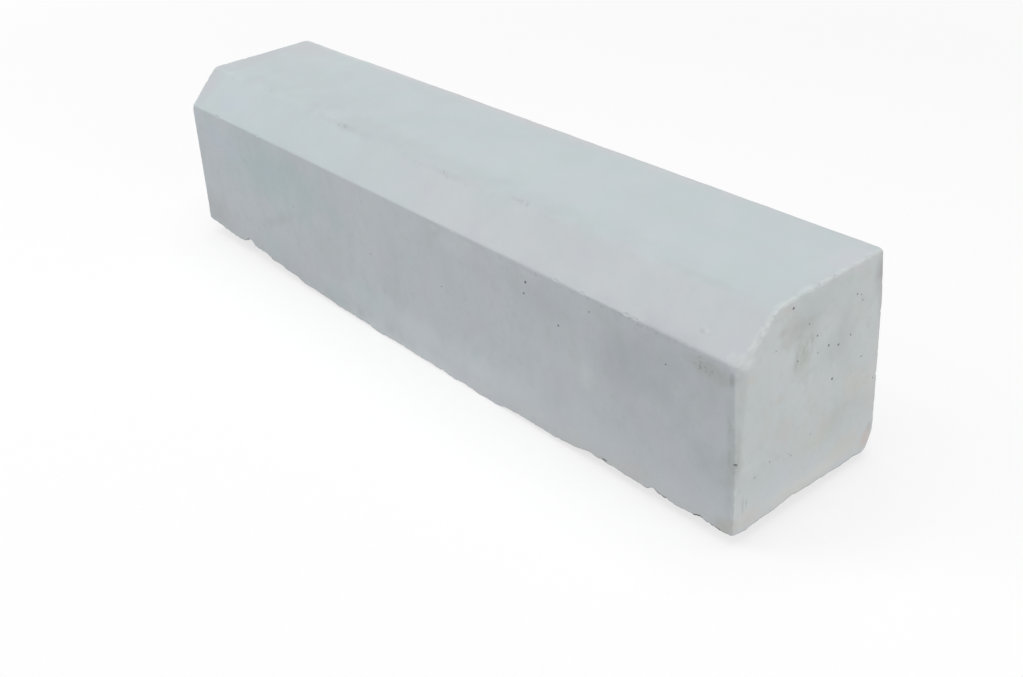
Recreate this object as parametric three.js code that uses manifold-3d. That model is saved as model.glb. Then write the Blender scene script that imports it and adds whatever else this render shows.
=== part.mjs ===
// A road kerb stone of wet-cast concrete: one solid block with a splayed front edge.
// The block is cast upside down, so its visible faces are flat and its underside is the open face
// of the mould, which was struck off by hand and bellies out towards the middle of its length.
//
// Millimetres, +Z up. X runs along the kerb from end A to end B, -Y is the road side, and Z = 0
// is the flat stretch of the underside that the kerb rests on. The origin is in the middle of the
// foot's length and width.

import * as THREE from 'three';
import { ConvexGeometry } from 'three/addons/geometries/ConvexGeometry.js';
import { mergeVertices } from 'three/addons/utils/BufferGeometryUtils.js';
import Module from 'manifold-3d';

// Overall sizes. The block is longest and widest at its foot.
const LENGTH = 1000;
const WIDTH = 215;
const HEIGHT = 237;

// Draft: how far each upright face leans inwards between its foot and the top
const ROAD_DRAFT = 8.5;
const BACK_DRAFT = 5.5;
const END_DRAFT = 2;

// Splay along the top of the road side
const SPLAY_WIDTH = 45;
const SPLAY_DROP = 42.5;

// Fillets that the mould gives the long arrises
const SPLAY_FOOT_RADIUS = 9;
const SPLAY_HEAD_RADIUS = 25;
const BACK_ARRIS_RADIUS = 7;

// Rounding of the arrises at both ends
const END_ARRIS_RADIUS = 5;

// Underside: flat where the kerb rests, then a smooth ramp up to a level shelf below each end.
// The eases are the reach of a ramp's curve handles, at its shelf and at the flat.
const REST_LENGTH = 260;
const REST_OFFSET = 30;
const RAMP_A = { length: 245, rise: 17, headEase: 60, footEase: 120 };
const RAMP_B = { length: 160, rise: 10, headEase: 60, footEase: 60 };

// Blunt arris between the underside and each end
const BED_ARRIS_RUN = 12;
const BED_ARRIS_RISE = 3;

// Corner broken off end B, low at the back: its reach along each edge of the block
const CHIP_LENGTH = 20;
const CHIP_WIDTH = 24;
const CHIP_HEIGHT = 32;

// Arris knocked off end B, between the road face and the end: widest at the top, tapering out below
const WORN_LENGTH = 10;
const WORN_WIDTH = 11;
const WORN_HEIGHT = 138;

// How far a cutting body reaches past what it cuts
const OVERRUN = 20;
const OUTSIDE = 3;

const ARC_STEPS = 6;
const RAMP_STEPS = 16;

const wasm = await Module();
wasm.setup();

const footA = RAMP_A.rise + BED_ARRIS_RISE;
const footB = RAMP_B.rise + BED_ARRIS_RISE;

// Where the leaning faces stand at a height: Y of the road face and the back, X of the two ends.
const roadFaceY = (z) => -WIDTH / 2 + ROAD_DRAFT * z / HEIGHT;
const backFaceY = (z) => WIDTH / 2 - BACK_DRAFT * z / HEIGHT;
const endAX = (z) => -LENGTH / 2 + END_DRAFT * (z - footA) / (HEIGHT - footA);
const endBX = (z) => LENGTH / 2 - END_DRAFT * (z - footB) / (HEIGHT - footB);

// A closed three.js geometry as a manifold solid.
function toSolid(geometry) {
  const bare = new THREE.BufferGeometry();
  bare.setAttribute('position', geometry.getAttribute('position').clone());
  bare.setIndex(geometry.getIndex());
  const merged = mergeVertices(bare, 1e-4);
  const mesh = new wasm.Mesh({
    numProp: 3,
    vertProperties: new Float32Array(merged.getAttribute('position').array),
    triVerts: new Uint32Array(merged.getIndex().array),
  });
  return new wasm.Manifold(mesh);
}

// A manifold solid as a flat-shaded three.js geometry.
function toGeometry(solid) {
  const mesh = solid.getMesh();
  const geometry = new THREE.BufferGeometry();
  geometry.setAttribute('position', new THREE.BufferAttribute(mesh.vertProperties, 3));
  geometry.setIndex(new THREE.BufferAttribute(mesh.triVerts, 1));
  const flat = geometry.toNonIndexed();
  flat.computeVertexNormals();
  return flat;
}

// An outline with a fillet at each corner that has a radius. Corners run anticlockwise.
function filletedShape(corners) {
  const shape = new THREE.Shape();
  corners.forEach((corner, i) => {
    const before = corners.at(i - 1).point;
    const after = corners[(i + 1) % corners.length].point;
    const inward = corner.point.clone().sub(before).normalize();
    const onward = after.clone().sub(corner.point).normalize();
    if (corner.radius > 0) {
      const turn = Math.acos(inward.dot(onward));
      const setback = corner.radius * Math.tan(turn / 2);
      const start = corner.point.clone().addScaledVector(inward, -setback);
      const left = new THREE.Vector2(-inward.y, inward.x);
      const centre = start.clone().addScaledVector(left, corner.radius);
      const from = Math.atan2(start.y - centre.y, start.x - centre.x);
      shape.absarc(centre.x, centre.y, corner.radius, from, from + turn, false);
    } else if (i === 0) {
      shape.moveTo(corner.point.x, corner.point.y);
    } else {
      shape.lineTo(corner.point.x, corner.point.y);
    }
  });
  return shape;
}

// The kerb's cross-section in Y and Z. Its legs run on below Z = 0, for the underside to trim.
function sectionShape() {
  const splayFoot = HEIGHT - SPLAY_DROP;
  const at = (y, z, radius) => ({ point: new THREE.Vector2(y, z), radius });
  return filletedShape([
    at(roadFaceY(-OVERRUN), -OVERRUN, 0),
    at(backFaceY(-OVERRUN), -OVERRUN, 0),
    at(backFaceY(HEIGHT), HEIGHT, BACK_ARRIS_RADIUS),
    at(roadFaceY(HEIGHT) + SPLAY_WIDTH, HEIGHT, SPLAY_HEAD_RADIUS),
    at(roadFaceY(splayFoot), splayFoot, SPLAY_FOOT_RADIUS),
  ]);
}

// Moves square ends onto their leaning planes.
function leanEnds(geometry) {
  const positions = geometry.getAttribute('position');
  for (let i = 0; i < positions.count; i += 1) {
    const x = positions.getX(i);
    const z = positions.getZ(i);
    const lean = x > 0 ? endBX(z) - LENGTH / 2 : endAX(z) + LENGTH / 2;
    positions.setX(i, x + lean);
  }
}

// The block as it leaves the mould, before its open face is struck off.
function castBlock() {
  // The bevel is an inward offset of the outline, so it stays smaller than the back arris.
  const bevel = Math.min(END_ARRIS_RADIUS, BACK_ARRIS_RADIUS * 0.9);
  const geometry = new THREE.ExtrudeGeometry(sectionShape(), {
    depth: LENGTH - 2 * bevel,
    curveSegments: ARC_STEPS,
    bevelEnabled: true,
    bevelThickness: bevel,
    bevelSize: bevel,
    bevelOffset: -bevel,
    bevelSegments: 3,
  });
  geometry.translate(0, 0, bevel - LENGTH / 2);
  // Shape x, y and the extrusion become the kerb's Y, Z and X.
  const toKerb = new THREE.Matrix4().makeBasis(
    new THREE.Vector3(0, 1, 0),
    new THREE.Vector3(0, 0, 1),
    new THREE.Vector3(1, 0, 0),
  );
  geometry.applyMatrix4(toKerb);
  leanEnds(geometry);
  return toSolid(geometry);
}

// What lies below the underside, as a profile in X and Z that runs from end A to end B.
function belowUnderside() {
  const endA = -LENGTH / 2;
  const endB = LENGTH / 2;
  const restA = REST_OFFSET - REST_LENGTH / 2;
  const restB = REST_OFFSET + REST_LENGTH / 2;
  const shelfA = restA - RAMP_A.length;
  const shelfB = restB + RAMP_B.length;

  const profile = new THREE.Shape();
  profile.moveTo(endA - OVERRUN, -2 * OVERRUN);
  profile.lineTo(endB + OVERRUN, -2 * OVERRUN);
  profile.lineTo(endB + OVERRUN, footB);
  profile.lineTo(endB, footB);
  profile.lineTo(endB - BED_ARRIS_RUN, RAMP_B.rise);
  profile.lineTo(shelfB, RAMP_B.rise);
  profile.bezierCurveTo(
    shelfB - RAMP_B.headEase, RAMP_B.rise,
    restB + RAMP_B.footEase, 0,
    restB, 0,
  );
  profile.lineTo(restA, 0);
  profile.bezierCurveTo(
    restA - RAMP_A.footEase, 0,
    shelfA + RAMP_A.headEase, RAMP_A.rise,
    shelfA, RAMP_A.rise,
  );
  profile.lineTo(endA + BED_ARRIS_RUN, RAMP_A.rise);
  profile.lineTo(endA, footA);
  profile.lineTo(endA - OVERRUN, footA);

  const depth = WIDTH + 2 * OVERRUN;
  const geometry = new THREE.ExtrudeGeometry(profile, {
    depth,
    curveSegments: RAMP_STEPS,
    bevelEnabled: false,
  });
  geometry.translate(0, 0, -depth / 2);
  // The extrusion runs across the kerb.
  const toKerb = new THREE.Matrix4().makeBasis(
    new THREE.Vector3(1, 0, 0),
    new THREE.Vector3(0, 0, 1),
    new THREE.Vector3(0, -1, 0),
  );
  geometry.applyMatrix4(toKerb);
  return toSolid(geometry);
}

// The corner broken off end B, low at the back: a wedge from outside the block to the break.
function brokenCorner() {
  return toSolid(new ConvexGeometry([
    new THREE.Vector3(LENGTH / 2 + OUTSIDE, WIDTH / 2 + OUTSIDE, -OUTSIDE),
    new THREE.Vector3(LENGTH / 2 - CHIP_LENGTH, backFaceY(0), 0),
    new THREE.Vector3(LENGTH / 2, backFaceY(0) - CHIP_WIDTH, 0),
    new THREE.Vector3(endBX(CHIP_HEIGHT), backFaceY(CHIP_HEIGHT), CHIP_HEIGHT),
  ]));
}

// The arris knocked off end B: a wedge that is cut across at the top and runs out on the arris.
function wornArris() {
  const x = endBX(HEIGHT);
  const y = roadFaceY(HEIGHT);
  const tip = HEIGHT - WORN_HEIGHT;
  return toSolid(new ConvexGeometry([
    new THREE.Vector3(x + OUTSIDE, y - OUTSIDE, HEIGHT + OUTSIDE),
    new THREE.Vector3(x - WORN_LENGTH, y, HEIGHT),
    new THREE.Vector3(x, y + WORN_WIDTH, HEIGHT),
    new THREE.Vector3(endBX(tip), roadFaceY(tip), tip),
  ]));
}

function kerbStone() {
  const solid = castBlock()
    .subtract(belowUnderside())
    .subtract(brokenCorner())
    .subtract(wornArris());
  const concrete = new THREE.MeshStandardMaterial({
    color: 0xbcc1c0,
    roughness: 0.9,
    metalness: 0,
    flatShading: true,
  });
  const mesh = new THREE.Mesh(toGeometry(solid), concrete);
  mesh.name = 'kerb_stone';
  return mesh;
}

const kerb = new THREE.Group();
kerb.add(kerbStone());

export default kerb;
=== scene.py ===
import math

import bmesh
import bpy
import numpy as np
from mathutils import Euler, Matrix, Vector, noise


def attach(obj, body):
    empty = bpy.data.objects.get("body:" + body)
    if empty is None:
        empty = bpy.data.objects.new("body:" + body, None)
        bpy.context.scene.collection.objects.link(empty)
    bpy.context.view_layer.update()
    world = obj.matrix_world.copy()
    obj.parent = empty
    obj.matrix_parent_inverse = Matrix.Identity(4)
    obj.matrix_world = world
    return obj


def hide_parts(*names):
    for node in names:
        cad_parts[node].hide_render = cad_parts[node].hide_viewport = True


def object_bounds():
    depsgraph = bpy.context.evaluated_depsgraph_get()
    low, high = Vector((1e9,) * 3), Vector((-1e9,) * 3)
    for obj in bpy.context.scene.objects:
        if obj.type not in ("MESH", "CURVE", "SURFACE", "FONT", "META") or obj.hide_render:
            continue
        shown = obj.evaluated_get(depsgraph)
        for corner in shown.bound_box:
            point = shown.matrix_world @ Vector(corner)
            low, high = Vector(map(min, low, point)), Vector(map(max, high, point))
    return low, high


# A road kerb stone of wet-cast concrete, one piece, lying on a pale studio floor.
# Block sizes are millimetres, X along the kerb and Z up, as in the frame; Blender's are metres.

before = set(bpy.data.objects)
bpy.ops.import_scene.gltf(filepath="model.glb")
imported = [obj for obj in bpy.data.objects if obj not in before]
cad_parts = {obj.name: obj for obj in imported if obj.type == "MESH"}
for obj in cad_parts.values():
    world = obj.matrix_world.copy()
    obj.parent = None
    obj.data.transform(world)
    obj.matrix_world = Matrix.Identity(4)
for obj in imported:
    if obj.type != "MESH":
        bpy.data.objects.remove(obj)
frameLow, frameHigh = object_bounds()
mm = 0.001


def linearColour(hexText):
    # sRGB hex to the linear RGBA that shaders take
    parts = [int(hexText[i:i + 2], 16) / 255 for i in (1, 3, 5)]
    linear = [c / 12.92 if c <= 0.04045 else ((c + 0.055) / 1.055) ** 2.4 for c in parts]
    return (*linear, 1.0)


def addNode(tree, kind, inputs=None, **settings):
    # adds a node with its settings and gives its outputs; an input is a plain value or a socket
    node = tree.nodes.new("ShaderNode" + kind)
    for name, value in settings.items():
        setattr(node, name, value)
    for name, value in (inputs or {}).items():
        if isinstance(value, bpy.types.NodeSocket):
            tree.links.new(value, node.inputs[name])
        else:
            node.inputs[name].default_value = value
    return node.outputs


def emptyTree(owner):
    owner.use_nodes = True
    owner.node_tree.nodes.clear()
    return owner.node_tree


def addObject(name, data):
    made = bpy.data.objects.new(name, data)
    bpy.context.scene.collection.objects.link(made)
    return made


# ---- camera ----

cameraView = {
    "location": (1.0778, -0.8051, 0.7806),
    "tiltDegrees": (58.908, 3.734, 49.513),
    "lensMm": 43.754,
    "sensorMm": 36,
}


def makeCamera(settings):
    data = bpy.data.cameras.new("studioCamera")
    data.lens = settings["lensMm"]
    data.sensor_width = settings["sensorMm"]
    data.clip_start = 0.05
    data.clip_end = 100
    camera = addObject("studioCamera", data)
    camera.location = settings["location"]
    camera.rotation_euler = [math.radians(a) for a in settings["tiltDegrees"]]
    bpy.context.scene.camera = camera


makeCamera(cameraView)
print("camera made")

# ---- the kerb block ----

blockLength, blockWidth, blockHeight = ((frameHigh - frameLow) / mm)[:]

kerbBlock = {
    # lean of each upright face between foot and top, to leave the mould
    "roadDraft": 8.5,
    "backDraft": 5.5,
    "endDraft": 2,
    "splayWidth": 45,
    "splayDrop": 42.5,
    "splayHeadRadius": 25,
    "splayHeadRadiusA": 13,     # it is sharper at end A
    "backArrisRadius": 7,
    "backArrisRadiusA": 5.5,
    # arrises around the ends: end A is rounder, end B is sharp but knocked
    "endARadius": 4.6,
    "endBRadius": 1.3,
    "endBTopRadius": 2.2,
    "endBackRadius": 3,
    "endRadiusWander": 0.5,
    "splayFootExtraA": 3.2,     # the splay's foot is rubbed rounder where it meets an end
    "splayFootExtraB": 4,
    "wornArrisRadius": 0.7,
    "wornArrisExtra": 5,        # rounder where it runs out onto the splay
    "footArrisRadius": 1.5,
    "endATaper": 0.7,           # the block is a little slimmer towards end A,
    "backTaper": 1.6,           # and its back runs in towards there
    # underside, struck off by hand: flat in the middle, with a ramp up to a shelf below each
    # end, given as its way along the kerb, start, length and rise
    "ramps": [(-1, 100, 245, 17), (1, 160, 160, 10)],
    "bedArrisRun": 12,
    "bedArrisRise": 3,
    "strikeRoughness": 1.1,
    "lipRoughness": 0.8,
    "endLipRoughness": 1.1,
    "lipReach": 30,             # how far in the underside follows its lips
    "lipMargin": 4,             # all of it does this close to the foot's edge
    "faceWave": 0.22,           # gentle waves that the mould's plates leave in the cast faces
    # starting grid: how long a step along the kerb is, and how many steps each face has
    "stationStep": 4,
    "acrossSteps": 46,
    "upSteps": 38,
    "splaySteps": 20,
    # finest step beside an arris and how far in the steps are fine; the top and the splay have
    # their own, after their width
    "fineSteps": (1.1, 26),
    "topGrid": (155, 1.54, 22),
    "splayGrid": (62, 1.76, 16),
    # longest edges of the refined mesh, on plain faces and at each detail
    "plainEdge": 9,
    "endZone": 12,
    "endAEdge": 2.2,
    "endBEdge": 1.25,
    "lipEdge": 1.3,
    "knockEdge": 0.9,
    "refineRounds": 4,
    "roundingSteps": 7,
    # knocks and chips in the arrises
    "knockDrawnOut": 2.5,
    "chipRadius": (2.5, 5.5),
    "chipDepth": (0.2, 1.2),
    "chipRim": 0.35,
    # where the paste is worn pale, with painted highlight at end B's splay foot: strips beside the
    # ends, a rub and a patch on the splay
    "topStrip": 4.4,            # width of the strips: on the top,
    "otherStrip": 2.8,          # and elsewhere
    "stripRag": 2.8,
    "footHighlightStrip": 4,             # painted highlight added at the foot of end B's splay
    "topShare": 0.55,           # how much of a strip shows: on the top,
    "sideShare": 0.3,           # and on the road face and the back
    "rubWidth": 9,
    "rubShare": 0.7,
    # painted highlight on the knocked corner at that foot, over its pale paste
    "patchMiddle": (492, -93, 198),
    "patchReach": (17, 12, 8),
    "patchShare": 0.55,
    "dirtHeight": 2.2,          # of the painted shade above the lips
}

# each kind of roughness: size of its bumps, octaves and seed
roughKinds = {
    "trowelled": (34, 3, 1), "crumble": (9, 3, 2), "knocks": (13, 3, 3), "worn": (5, 3, 4),
    "backArris": (30, 2, 5), "broken": (18, 3, 6), "wave": (85, 2, 7), "chipRag": (3.5, 2, 8),
    "drift": (30, 3, 9), "mottle": (11, 3, 10),
}
# ragged foot of the road face: height of its lip along the kerb
roadLip = [
    (-500, 22), (-480, 20.2), (-467, 20.2), (-453, 18), (-435, 16.4), (-406, 15.8), (-394, 18.5),
    (-386, 24.5), (-377, 24.5), (-370, 18.8), (-335, 17), (-320, 13), (-304, 13.8), (-289, 11.1),
    (-259, 10.5), (-244, 6.1), (-215, 6.8), (-158, 3.5), (-91, 3.2), (-78, 0.5), (-27, 2.8),
    (9, 1.4), (33, 2.8), (44, 0.6), (56, 2.8), (79, 0), (101, 2.8), (123, 0), (155, 1),
    (176, 4), (190, 5), (255, 5.2), (283, 7.6), (302, 11.4), (328, 11.6), (363, 11), (389, 11),
    (396, 16), (405, 12.4), (428, 11.2), (451, 12.7), (459, 15.4), (467, 13), (490, 12.9),
    (500, 11.2),
]
# the same across end B
endLip = [
    (-107, 11.7), (-92, 12), (-79, 12.9), (-66, 13.4), (-53, 12.3), (-40, 12.9), (-27, 15.3),
    (-13, 14.2), (14, 12.3), (42, 10.8), (57, 9.6), (77, 10.4), (84, 9.6), (107, 9),
]
# painted shade along the lip's edge, where it turns down to the floor: how dark at each place
# along the kerb
lipShade = [
    (-500, 0.3), (322, 0.3), (329, 0.9), (336, 0.3), (394, 0.4), (402, 1), (420, 0.9),
    (444, 0.4), (452, 1), (486, 1), (500, 0.5),
]
# how far the arris below the splay was rubbed round along the kerb
splayFootRadii = [
    (-500, 6.5), (-428, 6.5), (-420, 3), (-365, 3), (-325, 5.5), (-317, 3), (60, 2.6), (200, 4.8),
    (268, 4.5), (285, 2), (370, 2), (410, 5), (470, 5.5), (500, 6.5),
]
# long shallow knocks in that arris: place along the kerb, radius and depth
splayFootKnocks = [
    (-424, 3, 1.0), (-319, 2.5, 0.9), (-120, 2, 0.6), (92, 2, 0.6), (260, 2.8, 1.0),
    (298, 2, 0.6), (358, 2.8, 1.0), (370, 2.2, 0.9), (436, 2.5, 0.6),
]

# bug holes: air bubbles that were trapped against the mould. Place on the face, then radius
roadHoles = [
    (214, 176, 1.4), (211, 162, 1.1), (263, 145, 1.1), (308, 178, 0.7), (410, 163, 0.8),
    (496, 95, 0.8), (497, 94.6, 0.9),
]
endHoles = [
    (-33, 228, 1.4), (-9, 202, 0.8), (4, 184, 0.9), (22, 166, 1.2), (37, 160, 1.2),
    (55, 163, 0.9), (61, 204, 0.8), (67, 201, 0.7), (70, 194, 0.8), (75, 130, 0.9),
    (31, 125, 1.3), (-23, 169, 0.9), (6, 165, 0.7), (98, 95, 0.9), (-55, 194, 0.6),
    (-57, 75, 0.8), (-26, 66, 0.8), (-30, 70, 0.6), (-78, 68, 0.7), (2, 76, 0.6),
]
# the hidden faces have their own: how many, their ranges of place, and of radius
strayHoles = [
    ("back", 16, (-470, 470), (40, 215), (0.8, 2.0)),
    ("endA", 11, (-85, 90), (40, 185), (0.7, 1.6)),
    ("road", 5, (-470, 150), (50, 180), (0.6, 0.9)),
    ("underside", 26, (-480, 480), (-95, 95), (1.5, 4.0)),
]
# chips around the ends: end, side, name of the arris radius, and spacing
chipRuns = [
    (1, "splay", "endBRadius", 6), (1, "top", "endBTopRadius", 22),
    (1, "road", "endBRadius", 15), (1, "back", "endBackRadius", 20),
    (-1, "splay", "endARadius", 60), (-1, "top", "endARadius", 20),
    (-1, "road", "endARadius", 20), (-1, "back", "endBackRadius", 22),
]
# cracks above the road lip: from one place along the kerb to another, and how far above
lipCracks = [(327, 333, 3), (401, 418, 1.2), (452, 464, 1.2), (469, 486, 1)]
crackStep, crackRadius = 1.5, 0.9
holeDepth = 1.3                 # of a bug hole, for each millimetre of its radius


def smoothStep(t):
    t = np.clip(t, 0.0, 1.0)
    return t * t * (3 - 2 * t)


def mixed(a, b, share):
    return a * (1 - share) + b * share


def roadY(z):
    return -blockWidth / 2 + kerbBlock["roadDraft"] * z / blockHeight


def backY(z):
    return blockWidth / 2 - kerbBlock["backDraft"] * z / blockHeight


def endX(z):
    return blockLength / 2 - kerbBlock["endDraft"] * z / blockHeight


splayFootZ = blockHeight - kerbBlock["splayDrop"]
splayHeadY = roadY(blockHeight) + kerbBlock["splayWidth"]


def strikeHeight(x):
    # the struck-off underside along the kerb, without its roughness
    s = kerbBlock
    arris = s["bedArrisRise"] * np.clip(
        (np.abs(x) - blockLength / 2 + s["bedArrisRun"]) / s["bedArrisRun"], 0, 1)
    return arris + sum(rise * smoothStep((way * x - start) / length)
                       for way, start, length, rise in s["ramps"])


def lookUp(table, place):
    # the value of a table at each place, between its rows
    return np.interp(place, *np.array(table, float).T)


def undersideHeight(x, y, trowelled=0.0, crumble=0.0):
    # the whole underside: its road side and end B follow their ragged lips
    s = kerbBlock
    crumbled = s["lipRoughness"] * crumble
    lip = lookUp(roadLip, x) + crumbled
    endFoot = lookUp(endLip, y) + s["endLipRoughness"] * crumble
    toLip, toEndA, toEndB = (
        smoothStep((s["lipReach"] + s["lipMargin"] - inside) / s["lipReach"])
        for inside in (blockWidth / 2 + y, blockLength / 2 + x, blockLength / 2 - x))
    struck = strikeHeight(x) + s["strikeRoughness"] * trowelled + crumbled * toEndA
    struck = mixed(struck, endFoot, toEndB)
    return np.clip(mixed(struck, lip, toLip), 0.0, None)


def roughness(points, kind):
    # fractal noise of about -1 to 1 at each point
    size, octaves, seed = roughKinds[kind]
    shift = Vector((17.3 * seed, -9.1 * seed, 5.7 * seed))
    return np.array([
        noise.fractal(Vector(p) / size + shift, 0.8, 2.0, octaves) for p in points])


def roundedMeet(a, b, radius):
    # joins the distance fields of two faces with an arris of the given radius
    reachA = np.maximum(a + radius, 0)
    reachB = np.maximum(b + radius, 0)
    return np.minimum(np.maximum(a, b), -radius) + np.hypot(reachA, reachB)


def obliqueRadius(radius, turn):
    # roundedMeet measures along the faces, so an arris of two oblique faces takes less
    return radius * math.tan(turn / 2) * math.sin(turn)


def facePlane(point, normal):
    unit = np.array(normal) / np.linalg.norm(normal)
    return unit, unit @ point


def planeOf3(a, b, c, outside):
    # the plane through three points, facing the outside point
    a, b, c, outside = (np.array(p) for p in (a, b, c, outside))
    normal = np.cross(b - a, c - a)
    if normal @ (outside - a) < 0:
        normal = -normal
    return facePlane(a, normal)


def cornerBreak(end, sideY, level, tip, along, inward):
    # a break across a corner: how far it reaches at one level, and the level where it runs out
    side = math.copysign(1, sideY(0))
    return planeOf3(
        (end * (endX(level) - along), sideY(level), level),
        (end * endX(level), sideY(level) - side * inward, level),
        (end * endX(tip), sideY(tip), tip),
        (end * (endX(0) + 5), sideY(0) + side * 5, level))


splayRun = splayHeadY - roadY(splayFootZ)
splayRise = math.atan2(kerbBlock["splayDrop"], splayRun)
planes = {
    "road": facePlane((0, roadY(0), 0), (0, -blockHeight, kerbBlock["roadDraft"])),
    "back": facePlane((0, backY(0), 0), (0, blockHeight, kerbBlock["backDraft"])),
    "endA": facePlane((-endX(0), 0, 0), (-blockHeight, 0, kerbBlock["endDraft"])),
    "endB": facePlane((endX(0), 0, 0), (blockHeight, 0, kerbBlock["endDraft"])),
    "top": facePlane((0, 0, blockHeight), (0, 0, 1)),
    "splay": facePlane((0, splayHeadY, blockHeight), (0, -kerbBlock["splayDrop"], splayRun)),
    # arris knocked off end B beside the road face, widest at the splay
    "wornArris": cornerBreak(1, roadY, 205, 48, along=9.5, inward=12),
    # corner knocked round at the top of end B's back, and a smaller one at end A
    "topCorner": cornerBreak(1, backY, blockHeight, 214, along=2.8, inward=4.4),
    "farCorner": cornerBreak(-1, backY, blockHeight, 226, along=7, inward=9.5),
    # corner broken off low at the back of end B, and one rubbed off low at its road side
    "brokenCorner": cornerBreak(1, backY, 11, 27.5, along=9.5, inward=9.3),
    "rubbedCorner": cornerBreak(1, roadY, 11, 26, along=5, inward=10),
}
# how far each broken corner's edges are rounded
cornerRounding = {"topCorner": 6, "farCorner": 4, "brokenCorner": 4, "rubbedCorner": 6}


def toPlanes(p):
    # distance of each point from each plane, positive outside the block
    return {name: p @ normal - offset for name, (normal, offset) in planes.items()}


def chipDistance(p, chip, rag=0):
    # distance outside a chip's scoop, which is drawn out along the kerb and has a ragged rim
    centre, radius, drawnOut = chip
    return np.linalg.norm((p - centre) / (drawnOut, 1, 1), axis=1) - radius + 0.5 * rag


def facesDistance(p, field):
    # distance to the rounded block, positive outside
    away = toPlanes(p)
    away["back"] = away["back"] + field["backIn"]
    for name in ("wornArris", *cornerRounding):
        away[name] = away[name] + field["broken"]
    rounding = {
        "road": obliqueRadius(field["splayFoot"], math.pi / 2 - splayRise),
        "back": field["backArris"], "endA": field["endArris"], "endB": field["endArris"],
        "wornArris": field["wornArris"], **cornerRounding}
    body = roundedMeet(away["splay"], away["top"], obliqueRadius(field["splayHead"], splayRise))
    for name, radius in rounding.items():
        body = roundedMeet(body, away[name], radius)
    body = roundedMeet(body, field["underside"] - p[:, 2], field["footArris"])
    for near, chip in field["chips"]:
        scoop = -chipDistance(p[near], chip, field["chipRag"][near])
        body[near] = roundedMeet(body[near], scoop, kerbBlock["chipRim"])
    return body + field["wave"]


def graded(count, length, fine, reach):
    # count steps over a length, close together near both ends
    t = np.linspace(0, length, 2001)
    coarse = length / count
    step = fine + (coarse * 2 - fine) * smoothStep(np.minimum(t, length - t) / reach)
    turned = np.concatenate([[0], np.cumsum(np.diff(t) / ((step[1:] + step[:-1]) / 2))])
    return np.interp(np.linspace(0, turned[-1], count + 1), turned, t) / length


def sharpBlock():
    # the block with sharp arrises, as a grid that is fine near every arris
    s = kerbBlock
    across, up, upSplay = s["acrossSteps"], s["upSteps"], s["splaySteps"]
    stations = -1 + 2 * graded(int(blockLength / s["stationStep"]), blockLength, *s["fineSteps"])
    bottomT = graded(across, blockWidth, *s["fineSteps"])
    topT = graded(across, *s["topGrid"])
    roadT = graded(up, splayFootZ, *s["fineSteps"])
    splayT = graded(upSplay, *s["splayGrid"])
    backT = graded(up + upSplay, blockHeight, *s["fineSteps"])

    def side(a, b, t):
        return a + (b - a) * t[:, None]

    def corners(x):
        roadFoot, backFoot = undersideHeight(
            x * blockLength / 2, np.array((-blockWidth / 2, blockWidth / 2)))
        return [np.array(c) for c in (
            (roadY(roadFoot), roadFoot), (roadY(splayFootZ), splayFootZ),
            (splayHeadY, blockHeight), (backY(blockHeight), blockHeight),
            (backY(backFoot), backFoot))]

    def roadSide(c):
        return np.concatenate([side(c[0], c[1], roadT)[:-1], side(c[1], c[2], splayT)])

    def bottomSide(x, a, b):
        row = side(a, b, bottomT)
        row[:, 1] = undersideHeight(x * blockLength / 2, row[:, 0])
        return row

    def place(x, yz):
        # the ends lean, so a station is nearer the middle at the top than at the foot
        return np.column_stack([x * endX(yz[:, 1]), yz])

    points, faces, rings = [], [], []
    for x in stations:
        c = corners(x)
        rings.append(len(points))
        points.extend(place(x, np.concatenate([
            roadSide(c)[:-1], side(c[2], c[3], topT)[:-1], side(c[3], c[4], backT)[:-1],
            bottomSide(x, c[4], c[0])[:-1]])))
    ringCount = len(points) // len(stations)
    for a, b in zip(rings, rings[1:]):
        for j in range(ringCount):
            k = (j + 1) % ringCount
            faces.append((a + j, a + k, b + k, b + j))
    for x in (-1, 1):
        # an end is a patch stretched between its four sides
        c = corners(x)
        low, high = bottomSide(x, c[0], c[4]), side(c[2], c[3], bottomT)
        left, right = roadSide(c), side(c[4], c[3], backT)
        u, v = bottomT[:, None, None], backT[None, :, None]
        patch = ((1 - v) * low[:, None] + v * high[:, None]
                 + (1 - u) * left[None] + u * right[None]
                 - (1 - u) * (1 - v) * c[0] - u * (1 - v) * c[4]
                 - (1 - u) * v * c[2] - u * v * c[3])
        first = len(points)
        rows = len(backT)
        points.extend(place(x, patch.reshape(-1, 2)))
        for i in range(len(bottomT) - 1):
            for j in range(rows - 1):
                a = first + i * rows + j
                faces.append((a, a + rows, a + rows + 1, a + 1))
    return np.array(points), faces


def holeOn(face, u, v, radius):
    # a bug hole's centre, outward normal and radius, from its place on a face
    centre = {
        "road": (u, roadY(v), v), "back": (u, backY(v), v),
        "endA": (-endX(v), u, v), "endB": (endX(v), u, v),
        "underside": (u, v, strikeHeight(u)),
    }[face]
    normal = planes[face][0] if face in planes else np.array((0, 0, -1.0))
    return centre, normal, radius


def holePlaces():
    holes = [holeOn("road", *row) for row in roadHoles]
    for start, stop, lift in lipCracks:
        # a crack is a row of holes that run into each other
        for x in np.arange(start, stop, crackStep):
            holes.append(holeOn("road", x, lookUp(roadLip, x) + lift, crackRadius))
    holes += [holeOn("endB", *row) for row in endHoles]
    rng = np.random.default_rng(41)
    for face, count, *ranges in strayHoles:
        for _ in range(count):
            holes.append(holeOn(face, *(rng.uniform(*span) for span in ranges)))
    return holes


diagonal = 0.7                  # about how much of a length at 45 degrees goes along each axis


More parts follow.
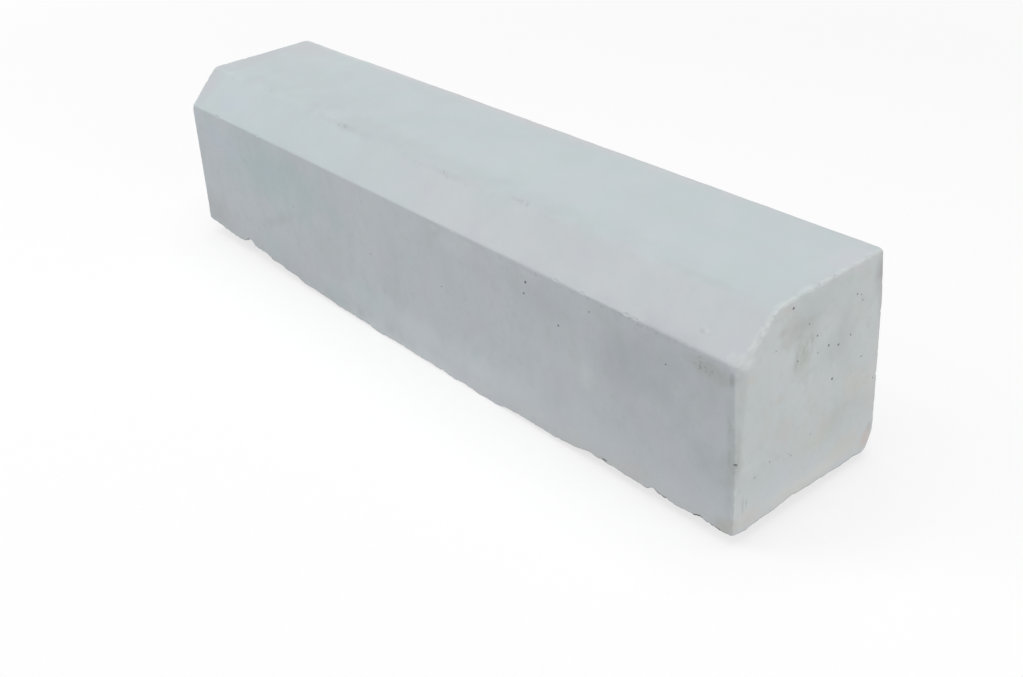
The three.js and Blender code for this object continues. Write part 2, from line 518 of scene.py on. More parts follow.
def arrisChips():
    # small scoops knocked out of the arrises: middle, radius and how far each is drawn out in X
    s = kerbBlock
    chips = []
    for x, radius, depth in splayFootKnocks:
        lift = diagonal * (radius - depth)
        middle = (x, roadY(splayFootZ) - lift, splayFootZ + lift)
        chips.append((middle, radius, s["knockDrawnOut"]))
    rng = np.random.default_rng(23)
    splayFoot, splayHead = (roadY(splayFootZ), splayFootZ), (splayHeadY, blockHeight)
    # where chips start and stop on each side of an end, and its outward way, in Y and Z
    sides = {
        "splay": (splayFoot, splayHead, (-diagonal, diagonal)),
        "top": (splayHead, (backY(blockHeight), blockHeight), (0, 1)),
        "road": ((roadY(30), 30), splayFoot, (-1, 0)),
        "back": ((backY(30), 30), (backY(blockHeight - 8), blockHeight - 8), (1, 0)),
    }
    for end, side, radiusName, spacing in chipRuns:
        start, stop, outward = (np.array(p) for p in sides[side])
        span = np.linalg.norm(stop - start)
        run = rng.uniform(0, spacing)
        while run < span:
            y, z = start + (stop - start) * run / span
            radius = rng.uniform(*s["chipRadius"])
            # a rounded arris already stands back by this much of its radius
            depth = 0.41 * s[radiusName] + rng.uniform(*s["chipDepth"])
            lift = (radius - depth) * diagonal
            middle = (end * (endX(z) + lift), y + lift * outward[0], z + lift * outward[1])
            chips.append((middle, radius, 1))
            run += spacing * rng.uniform(0.5, 1.5)
    return chips


def wantedEdge(p, holes):
    # how long a mesh edge may be at each point: short at holes, knocks, lips and end arrises
    s = kerbBlock
    wanted = np.full(len(p), s["plainEdge"])
    away = toPlanes(p)
    toEnd = np.abs(np.where(p[:, 0] < 0, away["endA"], away["endB"]))
    toSide = np.min([np.abs(away[name]) for name in ("road", "back", "top", "splay")], axis=0)
    atEndArris = np.hypot(toEnd, toSide)
    endEdge = np.where(p[:, 0] < 0, s["endAEdge"], s["endBEdge"])
    wanted = np.where(atEndArris < s["endZone"], endEdge + 0.25 * atEndArris, wanted)
    atLip = np.hypot(p[:, 1] + blockWidth / 2, p[:, 2] - undersideHeight(p[:, 0], p[:, 1]))
    wanted = np.minimum(wanted, s["lipEdge"] + 0.35 * atLip)
    spots = [((x, roadY(splayFootZ), splayFootZ), radius, s["knockDrawnOut"], s["knockEdge"])
             for x, radius, _ in splayFootKnocks]
    spots += [(centre, radius, 1, 0.3 + 0.14 * radius) for centre, _, radius in holes]
    for *spot, finest in spots:
        away = np.maximum(chipDistance(p, spot), 0)
        wanted = np.minimum(wanted, finest + 0.6 * away)
    return wanted


def refine(shape, holes):
    # halves every edge that is longer than its place allows
    ends = np.array([[v.co[:] for v in e.verts] for e in shape.edges])
    lengths = np.linalg.norm(ends[:, 0] - ends[:, 1], axis=1)
    tooLong = lengths > 1.35 * wantedEdge(ends.mean(axis=1), holes)
    edges = [e for e, wanted in zip(shape.edges, tooLong) if wanted]
    bmesh.ops.subdivide_edges(shape, edges=edges, cuts=1, use_grid_fill=True)
    bmesh.ops.triangulate(shape, faces=[f for f in shape.faces if len(f.verts) > 4])


def sharpMesh(holes):
    # the sharp block as a mesh, fine enough for each place's detail
    points, faces = sharpBlock()
    raw = bpy.data.meshes.new("kerbRaw")
    raw.from_pydata(points.tolist(), [], faces)
    shape = bmesh.new()
    shape.from_mesh(raw)
    bpy.data.meshes.remove(raw)
    bmesh.ops.remove_doubles(shape, verts=shape.verts, dist=0.01)
    bmesh.ops.recalc_face_normals(shape, faces=shape.faces)
    for _ in range(kerbBlock["refineRounds"]):
        refine(shape, holes)
    mesh = bpy.data.meshes.new("kerbBlock")
    shape.to_mesh(mesh)
    shape.free()
    print("sharp block:", len(mesh.vertices), "points", len(mesh.polygons), "faces")
    return mesh


def meshPoints(mesh):
    p = np.empty(len(mesh.vertices) * 3)
    mesh.vertices.foreach_get("co", p)
    return p.reshape(-1, 3)


def atSplayFoot(p):
    # 1 around the splay's foot, on the side of the road face
    return smoothStep((-75 - p[:, 1]) / 22) * smoothStep((p[:, 2] - 186) / 8)


def endArrisRadii(p, wander):
    # rounding of the arrises around both ends, which changes from side to side
    s = kerbBlock
    x, y, z = p.T
    onTop = smoothStep((y - splayHeadY + 30) / 30)
    atBack = smoothStep((y - blockWidth / 2 + 30) / 22)
    endB = mixed(s["endBRadius"], s["endBTopRadius"], onTop)
    endB = mixed(endB, s["endBackRadius"], atBack) + s["splayFootExtraB"] * atSplayFoot(p)
    # end A is sharper beside the splay's head and low down
    endA = s["endARadius"] + s["splayFootExtraA"] * atSplayFoot(p)
    endA = endA - 2.4 * smoothStep(1.5 - np.abs(y + 35) / 40) - 1.5 * smoothStep((45 - z) / 20)
    return np.clip(np.where(x < 0, endA, endB) + s["endRadiusWander"] * wander, 0.9, 9)


def surfaceField(p):
    # what changes along the block's arrises and faces, at each point of the sharp block
    s = kerbBlock
    x, y, z = p.T
    crumble = roughness(p, "crumble")
    trowelled = np.clip(0.55 + roughness(p, "trowelled"), 0, None)
    knocks = roughness(p, "knocks")
    chips = arrisChips()
    near = [np.flatnonzero(chipDistance(p, chip) < 6) for chip in chips]
    backArris = mixed(s["backArrisRadius"], s["backArrisRadiusA"], smoothStep((-x - 200) / 150))
    return {
        "splayFoot": np.clip(lookUp(splayFootRadii, x) + 0.8 * knocks, 1.4, 9),
        "splayHead": mixed(s["splayHeadRadius"], s["splayHeadRadiusA"],
                           smoothStep((-x - 380) / 110)),
        "backArris": backArris * (1 + 0.12 * roughness(p, "backArris")),
        "endArris": endArrisRadii(p, knocks + crumble),
        "wornArris": s["wornArrisRadius"] + s["wornArrisExtra"] * smoothStep((z - 184) / 12),
        "footArris": np.clip(s["footArrisRadius"] + knocks, 0.6, 5),
        "broken": 0.5 * roughness(p, "broken"),
        "backIn": s["backTaper"] * smoothStep((-x - 150) / 250),
        "chips": list(zip(near, chips)),
        "chipRag": roughness(p, "chipRag"),
        "underside": undersideHeight(x, y, trowelled, crumble),
        "wave": s["faceWave"] * (0.6 + 0.6 * roughness(p, "wave"))
        + s["endATaper"] * smoothStep((-x - 250) / 200),
    }


def roundArrises(p, field):
    # Newton's steps along the slope of the distance bring each point onto the rounded block
    nudge = 0.05
    for _ in range(kerbBlock["roundingSteps"]):
        gap = facesDistance(p, field)
        slope = np.column_stack([
            facesDistance(p + nudge * axis, field) - facesDistance(p - nudge * axis, field)
            for axis in np.eye(3)]) / (2 * nudge)
        p = p - slope * (gap / np.maximum((slope ** 2).sum(1), 0.2))[:, None]
    print("arrises rounded, largest gap", round(float(np.abs(gap).max()), 3), "mm")
    return p


def pressHoles(p, holes):
    # presses each bug hole into its face, and says how much painted shade each point takes in one
    holeShadeShare = np.zeros(len(p))
    for centre, normal, radius in holes:
        away = p - centre
        depth = away @ normal
        across = np.linalg.norm(away - depth[:, None] * normal, axis=1)
        onFace = np.abs(depth) < 6
        bowl = np.sqrt(np.clip(1 - (across / radius) ** 2, 0, 1))
        press = np.where((across < radius) & onFace, bowl * radius * holeDepth, 0)
        p = p - press[:, None] * normal
        shade = smoothStep((radius * 1.25 - across) / (radius * 0.5))
        holeShadeShare = np.maximum(holeShadeShare, np.where(onFace, shade, 0))
    return p, holeShadeShare


def wearHighlightAndLipShade(sharp, p, field):
    # how worn each point is, with painted highlight, and its painted shade at the lip: from its
    # places on the sharp block and now
    s = kerbBlock
    ragged = roughness(p, "worn")
    away = toPlanes(p)
    onTop = sharp[:, 1] > splayHeadY
    onEndB = p[:, 0] > 0
    atFoot = np.where(onEndB, atSplayFoot(sharp), 0)
    toEnd = -np.maximum(away["endA"], away["endB"])
    toHead = -np.maximum(away["top"], away["splay"])
    toSide = -np.maximum(away["road"], away["back"])
    wide = np.where(onTop, s["topStrip"], s["otherStrip"]) + s["stripRag"] * ragged
    # at the foot of end B's splay the strip widens as painted highlight, where a rounder arris
    # would catch the light
    wide = np.clip(wide + s["footHighlightStrip"] * atFoot, 0.8, None)
    strip = smoothStep(1.6 - toEnd / wide) * np.where(onTop, s["topShare"], 1)
    wearAndHighlight = strip * np.maximum(smoothStep((3.4 + ragged + 3.5 * atFoot - toHead) / 1.4),
                              s["sideShare"] * smoothStep((3.2 - toSide) / 1.6))
    rub = (smoothStep((s["rubWidth"] + 3 * ragged - toEnd) / 5)
           * smoothStep((1.5 + away["splay"]) / 1.5))
    wearAndHighlight = np.maximum(wearAndHighlight, np.where(onEndB, s["rubShare"] * rub, 0))
    # painted highlight on the knocked corner at the foot of end B's splay
    fromPatch = np.linalg.norm((p - s["patchMiddle"]) / s["patchReach"], axis=1)
    patch = smoothStep((1.35 + 0.3 * ragged - fromPatch) / 0.9)
    wearAndHighlight = np.maximum(wearAndHighlight, s["patchShare"] * patch)
    for few, chip in field["chips"]:
        inChip = smoothStep(1.6 - np.abs(chipDistance(p[few], chip, field["chipRag"][few])) / 0.3)
        wearAndHighlight[few] = np.maximum(wearAndHighlight[few], inChip / chip[2])

    # painted shade lies in the crumbled edge of the lip, on the road face and end B
    toFoot = p[:, 2] - field["underside"] - 0.6 * ragged
    dirt = lookUp(lipShade, sharp[:, 0]) * smoothStep((s["dirtHeight"] - toFoot) / 1.2)
    dirt *= np.maximum(smoothStep((6 + away["road"]) / 3), smoothStep((6 + away["endB"]) / 3))
    return wearAndHighlight, dirt


def makeKerb():
    holes = holePlaces()
    mesh = sharpMesh(holes)
    sharp = meshPoints(mesh)
    field = surfaceField(sharp)
    p, shadeInHoles = pressHoles(roundArrises(sharp, field), holes)
    wearAndHighlight, dirt = wearHighlightAndLipShade(sharp, p, field)
    mesh.vertices.foreach_set("co", (p * mm).astype(np.float32).ravel())
    for name, values in (("shadeInHoles", shadeInHoles), ("wearAndHighlight", wearAndHighlight), ("dirt", dirt)):
        layer = mesh.attributes.new(name, "FLOAT", "POINT")
        layer.data.foreach_set("value", values.astype(np.float32))
    mesh.polygons.foreach_set("use_smooth", [True] * len(mesh.polygons))
    mesh.update()
    kerb = addObject("kerb_block", mesh)
    triangles = sum(len(f.vertices) - 2 for f in mesh.polygons)
    print("kerb block made:", triangles, "triangles")
    return kerb


kerb = makeKerb()

# ---- wet-cast concrete ----
# Poured and vibrated against a smooth mould. The cement skin is a cool, pale grey with soft
# clouds where it dried unevenly, a fine sandy grain, pinholes, and paler knocked arrises.

castConcrete = {
    "sideSkin": "#c5cbcf",      # the mould's walls gave the sides a dry, faintly blue skin
    "topSkin": "#c2cbcd",       # its floor gave the top and the splay a smooth, cool one
    "splaySkin": "#c4ced0",
    "rubbedSplay": "#cacfd2",   # paler where the splay was rubbed, towards end B
    "endSkin": "#c7cccc",
    "warmBloom": "#cac9c0",
    "coolBloom": "#bccac8",
    "lilacBloom": "#c9c8d0",    # hardly seen drifts of hue in the rest of the skin
    "tealBloom": "#bdccca",
    "cloudDark": "#b4babc",
    "cloudLight": "#d0d6d8",
    "footSkin": "#d9dde3",      # paler towards the foot, near the struck face
    "arris": "#d5dad9",         # knocked arrises show paler, drier paste; at the foot of end B's splay, painted highlight
    "struck": "#b7b8b4",        # the trowelled underside
    # painted shade, laid in the bug holes and as pinhole dots
    "holeShade": "#7b7e7d",
    "speck": "#9da09e",
    # painted shade along the lip's crumbled edge, which turns down to the floor
    "lipShade": "#70736f",
    "smoothest": 0.76,          # roughness of the densest skin,
    "roughest": 0.88,           # and of the driest streaks
    "noiseRoughness": 0.6,
    "pinholeMm": 14,            # spacing
    "grainMm": 0.3,             # height of the sand's relief, and of the mottle's
    "grainStrength": 0.35,
    "waveMm": 0.6,
    "waveStrength": 0.25,
}
# noises in the skin: size of their bumps in mm, detail, stretch and shift
skinNoises = {
    "clouds": (95, 3, (1, 1, 1), 0),
    "streaks": (60, 3, (1, 1, 0.5), 0),
    "bloom": (42, 2, (1, 1, 1), 3.1),
    "hue": (42, 2, (1, 1, 1), 9.7),
    "drift": (30, 3, (1, 1, 1), 0),
    "mottle": (11, 4, (1, 1, 1), 0),
    "speckle": (4, 2, (1, 1, 1), 0),
    "sand": (1.5, 2, (1, 1, 1), 0),   # real sand is finer; this is the finest that shows
}
splayRange = (splayHeadY + 6) * mm, (splayHeadY - 10) * mm
# parts of the block: what tells them (places in metres), where it is none and full, and share
skinParts = {
    "onTop": ("facingZ", 0.3, 0.6, 1),
    "onSide": ("facingZ", 0.6, 0.3, 1),
    "onEndA": ("facingX", -0.6, -0.8, 1),
    "onEndB": ("facingX", 0.6, 0.8, 1),
    "onBack": ("facingY", 0.6, 0.8, 1),
    "roadward": ("placeY", *splayRange, 1),
    "towardsB": ("placeX", -0.15, 0.20, 0.5),
    "speckled": ("speckle", 0.50, 0.64, 1),
}
# parts worked out from others, by Math nodes
joinedParts = {
    "onSplay": ("MULTIPLY", "onTop", "roadward"),
    "hidden": ("MAXIMUM", "onEndA", "onBack"),
    "cloudy": ("MULTIPLY_ADD", "hidden", 0.30, 0.12),    # hardly on the top, most out of view
    "sandy": ("MULTIPLY_ADD", "onSide", 0.7, 0.3),
    "footward": ("MULTIPLY_ADD", "clouds", 0.05, "placeZ"),
}
# the skin's layers in order: tint, what it follows, where that is none and full, how much of the
# tint shows, and on which part
skinLayers = [
    ("topSkin", "facingZ", 0.3, 0.6, 1, None),
    ("splaySkin", "placeY", *splayRange, 1, "onTop"),
    ("rubbedSplay", "placeX", -0.22, 0.10, 1, "onSplay"),
    ("endSkin", "facingX", 0.6, 0.8, 1, None),
    ("cloudDark", "clouds", 0.52, 0.32, 1, "cloudy"),
    ("cloudLight", "clouds", 0.5, 0.7, 1, "cloudy"),
    ("cloudDark", "streaks", 0.5, 0.34, 0.20, "onSide"),
    ("cloudLight", "streaks", 0.5, 0.68, 0.20, "onSide"),
    ("cloudDark", "mottle", 0.5, 0.3, 0.22, "onSide"),
    ("cloudDark", "mottle", 0.5, 0.36, 0.06, "onEndB"),
    ("warmBloom", "bloom", 0.5, 0.66, 0.22, "onEndB"),
    ("coolBloom", "bloom", 0.5, 0.34, 0.22, "onEndB"),
    ("lilacBloom", "hue", 0.5, 0.68, 0.2, None),
    ("tealBloom", "hue", 0.5, 0.32, 0.2, None),
    ("footSkin", "footward", 0.095, 0.035, 1, "towardsB"),
]
# layers that lie over the stains
lateLayers = [
    # pale paste of the worn arrises, with painted highlight at the foot of end B's splay
    ("arris", "mottle", 0.38, 0.56, 0.85, "wearAndHighlight"),
    ("speck", "sand", 0.36, 0.24, 0.35, "sandy"),
    ("cloudLight", "sand", 0.62, 0.78, 0.3, "sandy"),
    # painted shade along the lip's edge
    ("lipShade", "mottle", 0.30, 0.5, 0.85, "dirt"),
    ("struck", "facingZ", -0.7, -0.9, 0.9, None),
    # painted shade: pinholes too small to model, as dark dots on the sides
    ("holeShade", "pinholes", 0.04, 0.02, 0.45, "onSide"),
]

# each face that can carry stains: where it stands, how deep a stain reaches in, and the two axes
# that its stains are placed along. They are turned about the third.
stainFaces = {
    "road": (-104, 20, (0, 2)),
    "back": (105, 14, (0, 2)),
    "endA": (-500, 14, (1, 2)),
    "endB": (500, 12, (1, 2)),
    "top": (237, 14, (0, 1)),
    "splay": (214, 26, (0, 1)),
}
# broad drifts of the skin, painted on the mesh's points in this order: the middle on the face,
# half sizes, tint, how much of it shows, and any turn in degrees
skinDrifts = {
    "road": [
        (-300, 150, 180, 58, "#afc6c9", 0.5),  # cool skin
        (-425, 156, 62, 27, "#c6d0de", 0.46),  # blue-grey bloom
        (-470, 40, 70, 34, "#b4b6b8", 0.5),  # dull foot
        (-290, 84, 68, 9, "#a7aaae", 0.26, -24),  # dull drift
        (-88, 46, 52, 20, "#b8cbcb", 0.4),  # greenish damp
        (-20, 5, 270, 15, "#e4e9ec", 0.6),  # painted light on the lip, against the floor's contact shade
        (45, 34, 320, 33, "#d8dfe6", 0.44),  # pale foot
        (238, 162, 90, 27, "#b3b7bc", 0.28),  # dull head
        (220, 68, 110, 22, "#dbe1e5", 0.15),  # pale middle
        (238, 100, 58, 32, "#d3d9dd", 0.18),  # pale rubbed field
        (390, 150, 102, 74, "#a5abb0", 0.4, -6),  # dull cloud
        (465, 80, 30, 30, "#a5a9b0", 0.25),  # dull drift
        (-485, 182, 28, 24, "#cbd6df", 0.55),  # pale damp
        (150, 34, 42, 30, "#e0e6ea", 0.22),  # pale foot
        (300, 15, 240, 16, "#d8d7ca", 0.24),  # warm foot
        (372, 28, 30, 14, "#cfc6c4", 0.3),  # rosy foot
        (105, 178, 50, 16, "#d6dce0", 0.28),  # pale head
    ],
    "top": [
        (40, -56, 470, 8, "#a3a7aa", 0.09),  # dull line on the crease
        (-40, -46, 500, 22, "#a3a7aa", 0.16),  # broad dull band by it
        (-478, -46, 28, 16, "#a6a9ad", 0.26),  # its dull end
        (-370, 100, 210, 10, "#e4e7e8", 0.5),  # painted light on the far back arris, against its shading
        (-330, -10, 330, 70, "#a9b1b2", 0.16),  # dull far half
        (-492, 0, 48, 90, "#c0c0c5", 0.55),  # pinkish skin by end A
        (0, 98, 520, 17, "#d2cccf", 0.5),  # painted highlight along the back arris
        (492, 60, 34, 60, "#d2cfd6", 0.3),  # pale corner
        (-455, 74, 62, 42, "#cbc4ca", 0.36),  # pinkish back corner
    ],
    "splay": [
        (-492, -70, 34, 40, "#c3c2c8", 0.45),  # pinkish skin by end A
        (-486, -97, 26, 14, "#b3b7bb", 0.4),  # dull foot of it
        (-405, -82, 44, 26, "#c4cddd", 0.34),  # bluish bloom
    ],
    "endB": [
        (5, 222, 74, 34, "#b1b6b6", 0.38),  # dull head
        (0, 22, 108, 15, "#dddcd4", 0.55),  # pale foot
        (40, 165, 28, 44, "#acb1b2", 0.48),  # dull cloud
        (-36, 97, 24, 20, "#ccc1bc", 0.38),  # rosy bloom
        (-80, 82, 20, 14, "#d3d8d8", 0.25),  # pale bloom
        (38, 80, 26, 17, "#b0ac9b", 0.22, 14),  # brown smear
        (66, 104, 26, 22, "#cbc4b1", 0.28),  # ochre bloom
        (18, 62, 24, 10, "#c5c8b6", 0.3),  # ochre bloom
        (66, 34, 34, 22, "#cdc9ba", 0.36),  # warm foot
        (-84, 26, 30, 16, "#d0ccc4", 0.5),  # warm foot by the road face
        (98, 214, 13, 30, "#a39da1", 0.66),  # painted shade of the rounded back corner, mauve
        (0, 202, 16, 12, "#a7abaa", 0.24),  # dull spot
        (98, 100, 13, 44, "#d6d0ce", 0.4),  # pale rim at the back
        (-104.5, 106, 8, 44, "#9fa4a3", 0.42),  # painted shade of a wider worn arris
    ],
    "back": [
        (-210, 40, 230, 34, "#aab0b0", 0.42, 3),  # damp foot
        (120, 150, 26, 90, "#d6dbdb", 0.36, 4),  # pale run
        (330, 120, 120, 80, "#aab0b3", 0.36),  # dull cloud
        (-380, 120, 34, 26, "#b3ad9f", 0.34),  # brown bloom
    ],
    "endA": [
        (20, 150, 60, 56, "#abb1b4", 0.4),  # dull cloud
        (-50, 70, 26, 20, "#c4c0ae", 0.34),  # ochre bloom
    ],
}
# small marks, laid over them in the material and given likewise
skinMarks = {
    "road": [
        (303, 105, 12, 24, "#dbe1e3", 0.3, 12),  # pale rubbed mark
        (60, 187, 8, 4, "#d0dcd6", 0.45),  # greenish rubs
        (120, 187, 8, 4, "#d0dcd6", 0.45), (214, 186, 12, 5, "#d0dcd6", 0.45),
        (466, 179, 36, 13, "#9ca294", 0.36, 8),  # soft dirt by the splay
        (488, 180, 4, 9, "#747a79", 0.42),  # dark smudge
        (491, 92, 8, 84, "#9aa295", 0.18, -2),  # olive band beside the arris
        (490, 20, 22, 14, "#b9b5a9", 0.46),  # rubbed brown corner
    ],
    "top": [
        (-165, -57, 80, 5, "#a3a7aa", 0.18),  # dull lines on the crease
        (40, -60, 70, 4, "#a3a7aa", 0.16), (420, -54, 60, 6, "#a3a7aa", 0.16),
        (478, -62, 18, 16, "#c3cec8", 0.3),  # greenish touch
        (494, -14, 5, 14, "#dbe1e1", 0.38),  # pale crumbled arris
    ],
    "splay": [
        (446, -86, 6, 1.5, "#dfe6e6", 0.38, -15),  # scratch
        (443, -88.6, 7, 1.4, "#8f9492", 0.26, -15),  # its shaded side
    ],
    "endB": [
        (-20, 200, 34, 26, "#abaca9", 0.52),  # dull patch
        (-16, 168, 18, 28, "#a09f92", 0.5),  # brown bloom
        (-25, 171, 3, 18, "#8b8a7d", 0.26, 4), (-4, 181, 3, 20, "#958f80", 0.2, 4),  # brown runs
        (-47, 208, 9, 6, "#a09c90", 0.3),  # brown smudge
        (-42, 229, 15, 9, "#c8bfb6", 0.32),  # tan bloom
        (-46, 139, 9, 6, "#c8c2ad", 0.3), (-87, 179, 8, 7, "#c8c2ad", 0.3),  # ochre touches
        (-95, 197, 13, 12, "#e9edec", 0.8),  # pale knocked corner, painted paler still as highlight where it rounds over
        (48, 225, 14, 8, "#b4c4bc", 0.3),  # greenish touch
        (101, 190, 5, 50, "#b9aeb3", 0.45),  # painted shade on the rounded back rim, mauve
        (95, 25, 11, 15, "#cdb1a3", 0.36),  # rust on the broken corner
        (99, 36, 4, 8, "#9c948c", 0.34),  # brown dot above it
        (-94, 42, 2.2, 13, "#969a97", 0.36), (-89, 45, 1.6, 9, "#969a97", 0.34),  # streaks
    ],
}
# marks that lie in specks
specks = {
    "road": [
        (458, 181, 22, 9, "#65675c", 0.42, 12),  # dirt by the splay
        (340, 191, 150, 3, "#8d9195", 0.4),  # painted shade: a broken dark line under the splay's arris
        (489, 122, 4, 50, "#6e7369", 0.18, -2),  # dark specks
    ],
    "top": [
        # crumbs on the crease
        (-351, -52, 9, 4, "#888c8f", 0.24), (-172, -57, 14, 5, "#888c8f", 0.45),
        (-13, -64, 10, 4, "#888c8f", 0.4), (34, -61, 12, 4, "#888c8f", 0.45),
        (76, -63, 9, 4, "#888c8f", 0.4), (160, -55, 26, 4, "#888c8f", 0.35),
    ],
    "splay": [
        (446, -90, 12, 8, "#8f9294", 0.25),  # flecks by the scratch
    ],
    "endB": [
        (-14, 178, 18, 20, "#77746a", 0.22),  # brown dots
    ],
}
# a stain is full where its distance and ragged edge add up to the first, gone at the second
stainFull, stainGone = 1.05, 2.35
# its edge is ragged by these shares of two noises,
stainEdge = {"drift": 1.7, "mottle": 0.6}
# and a painted drift's by a steady part and shares of the same two
paintEdge = 1.15, 0.36, 0.12


def stainBox(face, u, v, halfU, halfV, turn=0):
    # a stain's middle, half sizes and turn about each axis of the block
    level, depth, (uAxis, vAxis) = stainFaces[face]
    at, reach, turns = [level] * 3, [depth] * 3, [0, 0, 0]
    at[uAxis], at[vAxis], reach[uAxis], reach[vAxis] = u, v, halfU, halfV
    turns[3 - uAxis - vAxis] = math.radians(turn)
    return Vector(at), Vector(reach), Euler(turns)


def paintDrifts(kerb):
    # mixes the drifts at each point: their linear colour, times how much of it lies there
    p = meshPoints(kerb.data) / mm
    middle, driftShare, mottleShare = paintEdge
    ragged = middle + driftShare * roughness(p, "drift") + mottleShare * roughness(p, "mottle")
    paint = np.zeros((len(p), 4))
    for face, rows in skinDrifts.items():
        for u, v, halfU, halfV, tint, amount, *turn in rows:
            at, reach, turned = stainBox(face, u, v, halfU, halfV, *turn)
            away = np.linalg.norm((p - at) @ np.array(turned.to_matrix()) / reach, axis=1)
            share = amount * smoothStep((stainGone - ragged - away) / (stainGone - stainFull))
            paint += share[:, None] * (np.array(linearColour(tint)) - paint)
    layer = kerb.data.attributes.new("drift", "FLOAT_COLOR", "POINT")
    layer.data.foreach_set("color", paint.astype(np.float32).ravel())


paintDrifts(kerb)
print("skin drifts painted")


# a smooth ramp holds its own ends, so it needs no clamp. With twice as many marks as above,
# Cycles draws the whole block black
smoothRamp = {"interpolation_type": "SMOOTHSTEP", "clamp": False}


def skinSignals(tree, settings):
    # what the skin's layers can follow, by name
    onBlock = addNode(tree, "TexCoord")
    place = onBlock["Object"]
    signals = {"place": place}
    for name, vector in (("place", place), ("facing", onBlock["Normal"])):
        axes = addNode(tree, "SeparateXYZ", {"Vector": vector})
        for axis in "XYZ":
            signals[name + axis] = axes[axis]
    for name, (size, detail, stretch, shift) in skinNoises.items():
        at = addNode(tree, "Mapping", {
            "Vector": place, "Scale": stretch, "Location": (shift, shift, shift)})
        signals[name] = addNode(tree, "TexNoise", {
            "Vector": at[0], "Scale": 1 / (size * mm), "Detail": detail,
            "Roughness": settings["noiseRoughness"]})["Fac"]
    signals["pinholes"] = addNode(tree, "TexVoronoi", {
        "Vector": place, "Scale": 1 / (settings["pinholeMm"] * mm)})["Distance"]
    for name in ("wearAndHighlight", "dirt", "shadeInHoles"):
        signals[name] = addNode(tree, "Attribute", attribute_name=name)["Fac"]
    for name, (follows, none, full, share) in skinParts.items():
        signals[name] = addNode(tree, "MapRange", {
            "Value": signals[follows], "From Min": none, "From Max": full, "To Max": share},
            **smoothRamp)[0]
    for name, (operation, *terms) in joinedParts.items():
        inputs = {i: signals.get(term, term) for i, term in enumerate(terms)}
        signals[name] = addNode(tree, "Math", inputs, operation=operation)[0]
    return signals


def layTint(tree, colour, tint, follows, none, full, amount, part=None):
    # lays a tint over a colour where a signal goes from none to full, on one part of the block
    mask = addNode(tree, "MapRange", {
        "Value": follows, "From Min": none, "From Max": full, "To Max": amount},
        **smoothRamp)[0]
    if part:
        mask = addNode(tree, "Math", {0: part, 1: mask}, operation="MULTIPLY")[0]
    return addNode(tree, "Mix", {0: mask, 6: colour, 7: linearColour(tint)}, data_type="RGBA")[2]


def layStains(tree, colour, signals):
    # the painted drifts, then each small mark: a soft ellipsoid with a ragged edge
    drifts = addNode(tree, "Attribute", attribute_name="drift")
    colour = addNode(tree, "Mix", {
        0: drifts["Alpha"], 6: colour, 7: (0, 0, 0, 1)}, data_type="RGBA")[2]
    colour = addNode(tree, "Mix", {0: 1.0, 6: colour, 7: drifts["Color"]},
                     data_type="RGBA", blend_type="ADD")[2]
    edge = 0.0
    for name, share in stainEdge.items():
        edge = addNode(tree, "Math", {0: signals[name], 1: share, 2: edge},
                       operation="MULTIPLY_ADD")[0]
    marks = [(None, face, *row) for face, rows in skinMarks.items() for row in rows]
    marks += [(signals["speckled"], face, *row) for face, rows in specks.items() for row in rows]
    for part, face, u, v, halfU, halfV, tint, amount, *turn in marks:
        at, reach, turned = stainBox(face, u, v, halfU, halfV, *turn)
        inStain = addNode(tree, "Mapping", {
            "Vector": signals["place"], "Location": at * mm, "Rotation": turned,
            "Scale": reach * mm}, vector_type="TEXTURE")
        away = addNode(tree, "VectorMath", {0: inStain[0]}, operation="LENGTH")
        ragged = addNode(tree, "Math", {0: edge, 1: away["Value"]}, operation="ADD")
        colour = layTint(tree, colour, tint, ragged[0], stainGone, stainFull, amount, part)
    return colour


def makeConcrete(settings):
    material = bpy.data.materials.new("wetCastConcrete")
    tree = emptyTree(material)
    signals = skinSignals(tree, settings)

    def layAll(colour, rows):
        for tint, follows, none, full, amount, part in rows:
            colour = layTint(tree, colour, settings[tint], signals[follows], none, full, amount,
                             signals.get(part))
        return colour

    colour = layAll(linearColour(settings["sideSkin"]), skinLayers)
    colour = layStains(tree, colour, signals)
    colour = layAll(colour, lateLayers)
    # painted shade inside the bug holes
    colour = addNode(tree, "Mix", {
        0: signals["shadeInHoles"], 6: colour, 7: linearColour(settings["holeShade"])}, data_type="RGBA")[2]

    # relief: sand grain everywhere, with the mottle's slow waves over it
    grain = addNode(tree, "Bump", {
        "Height": signals["sand"], "Strength": settings["grainStrength"],
        "Distance": settings["grainMm"] * mm})
    waves = addNode(tree, "Bump", {
        "Height": signals["mottle"], "Strength": settings["waveStrength"],
        "Distance": settings["waveMm"] * mm, "Normal": grain["Normal"]})
    roughSkin = addNode(tree, "MapRange", {
        "Value": signals["streaks"], "From Min": 0.3, "From Max": 0.7,
        "To Min": settings["smoothest"], "To Max": settings["roughest"]}, **smoothRamp)
    shader = addNode(tree, "BsdfPrincipled", {
        "Base Color": colour, "Roughness": roughSkin[0], "Normal": waves["Normal"]})
    addNode(tree, "OutputMaterial", {"Surface": shader[0]})
    return material


kerb.data.materials.append(makeConcrete(castConcrete))
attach(kerb, "root")
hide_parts("kerb_stone")
print("concrete made")

# ---- studio ----

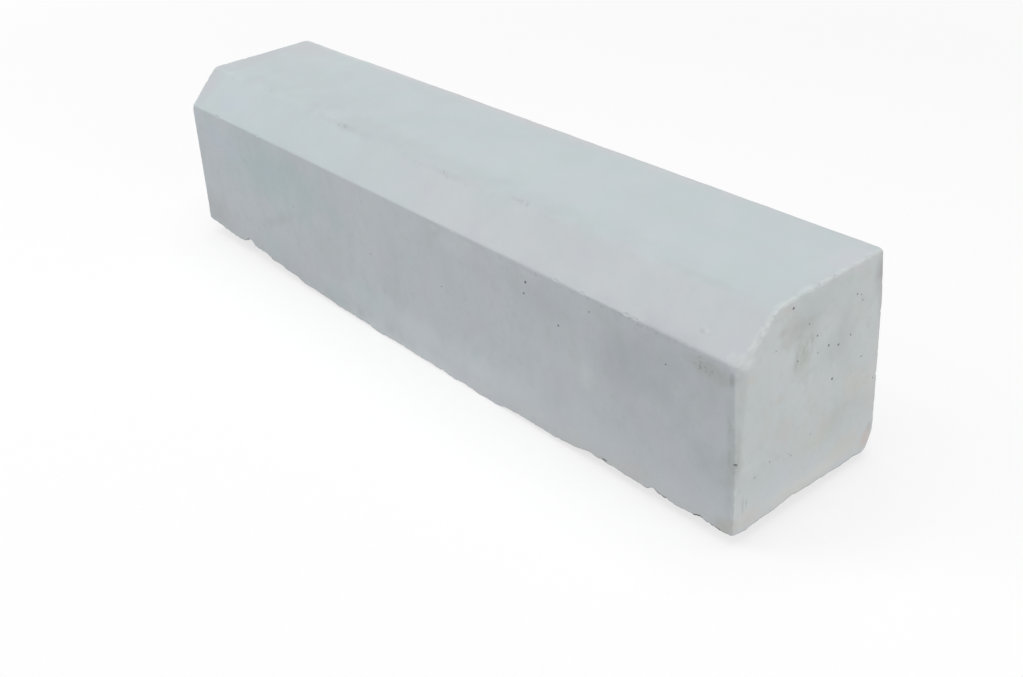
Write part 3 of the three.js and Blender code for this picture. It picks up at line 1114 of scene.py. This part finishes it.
studio = {
    "floorColour": "#eeeeee",
    "floorReach": 30.0,
    "floorGlow": 0.7,           # share of plain white that the camera sees in the floor,
    "floorNear": 0.9,           # which grows from this far out
    "floorFar": 2.6,            # until all of it is plain white here
    "skyColour": "#ffffff",
    "skyStrength": 0.235,
    # soft boxes: place, width and power
    "softBoxes": {
        "overheadBox": ((0, 0, 4.5), 4.5, 137),
        "endBox": ((2.6, 0, 0.8), 1.5, 17.3),
        "roadSideBox": ((-1.6, -1.6, 2.0), 1.5, 20),
    },
}


def backdropRay(tree):
    # 1 for the rays that should see a plain white backdrop: camera, mirror and glass ones
    path = addNode(tree, "LightPath")
    ray = path["Is Camera Ray"]
    for other in ("Is Glossy Ray", "Is Transmission Ray"):
        ray = addNode(tree, "Math", {0: ray, 1: path[other]}, operation="MAXIMUM")[0]
    return ray


def makeFloor(settings):
    reach = settings["floorReach"]
    mesh = bpy.data.meshes.new("studioFloor")
    mesh.from_pydata([(-reach, -reach, 0), (reach, -reach, 0), (reach, reach, 0),
                      (-reach, reach, 0)], [], [(0, 1, 2, 3)])
    floor = addObject("studioFloor", mesh)
    material = bpy.data.materials.new("matPaintedFloor")
    tree = emptyTree(material)
    ray = backdropRay(tree)
    place = addNode(tree, "TexCoord")["Object"]
    away = addNode(tree, "VectorMath", {0: place}, operation="LENGTH")
    glow = addNode(tree, "MapRange", {
        "Value": away["Value"], "From Min": settings["floorNear"],
        "From Max": settings["floorFar"], "To Min": settings["floorGlow"]},
        **smoothRamp)[0]
    share = addNode(tree, "Math", {0: ray, 1: glow}, operation="MULTIPLY")
    colour = addNode(tree, "Mix", {
        0: ray, 6: linearColour(settings["floorColour"]), 7: (1, 1, 1, 1)}, data_type="RGBA")
    paint = addNode(tree, "BsdfDiffuse", {"Color": colour[2]})
    white = addNode(tree, "Emission", {"Strength": 1.0})
    both = addNode(tree, "MixShader", {0: share[0], 1: paint[0], 2: white[0]})
    addNode(tree, "OutputMaterial", {"Surface": both[0]})
    mesh.materials.append(material)


def makeSky(settings):
    world = bpy.data.worlds.new("studioSky")
    bpy.context.scene.world = world
    tree = emptyTree(world)
    soft = addNode(tree, "Background", {
        "Color": linearColour(settings["skyColour"]), "Strength": settings["skyStrength"]})
    white = addNode(tree, "Background", {"Color": (1, 1, 1, 1), "Strength": 1.0})
    both = addNode(tree, "MixShader", {0: backdropRay(tree), 1: soft[0], 2: white[0]})
    addNode(tree, "OutputWorld", {"Surface": both[0]})


def makeLamp(name, place, width, power):
    # a soft box aimed at the middle of the block
    data = bpy.data.lights.new(name, "AREA")
    data.shape = "SQUARE"
    data.size = width
    data.energy = power
    lamp = addObject(name, data)
    lamp.location = place
    aim = Vector((0, 0, 0.12)) - Vector(place)
    lamp.rotation_euler = aim.to_track_quat("-Z", "Y").to_euler()
    lamp.visible_camera = False


makeFloor(studio)
makeSky(studio)
for name, (place, width, power) in studio["softBoxes"].items():
    makeLamp(name, place, width, power)
bpy.context.scene.view_settings.view_transform = "Standard"
print("studio made")
